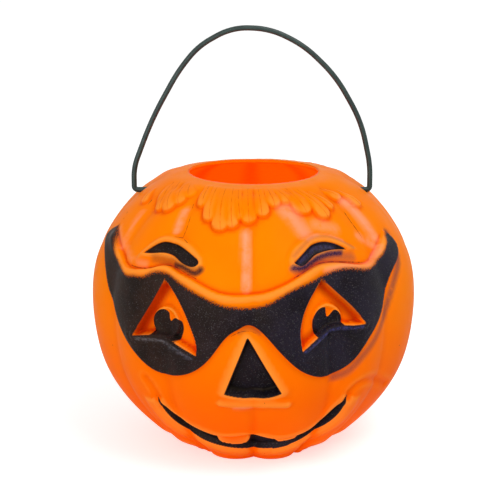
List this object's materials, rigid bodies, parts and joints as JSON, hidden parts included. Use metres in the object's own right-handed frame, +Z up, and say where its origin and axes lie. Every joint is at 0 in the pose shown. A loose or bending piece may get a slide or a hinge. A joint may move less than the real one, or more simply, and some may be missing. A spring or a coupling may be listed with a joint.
{
  "type": "candy pail",
  "caption": "Hollow pumpkin-shaped candy pail with a masked jack-o'-lantern face, leafy rim and a swinging coated wire bail handle.",
  "frame": {"origin": "middle of the flat base", "axes": "+Z up, the face looks along -Y, the handle's holes lie along X"},
  "size_m": [0.198, 0.2005, 0.2567],
  "materials": {
    "orange_plastic": "satin moulded plastic with black sprayed paint on the mask, nose, pupils, brows and smile",
    "steel_core": "drawn wire",
    "green_vinyl": "satin vinyl coat"
  },
  "bodies": {
    "pail": {"pail_shell": "orange_plastic"},
    "handle": {"handle_wire": "steel_core", "handle_coat": "green_vinyl"}
  },
  "joints": [
    {"name": "handle_swing", "type": "hinge", "parent": "pail", "child": "handle", "pos_m": [0, 0, 0.1565], "axis": [1, 0, 0], "range_deg": [-80, 80]}
  ]
}
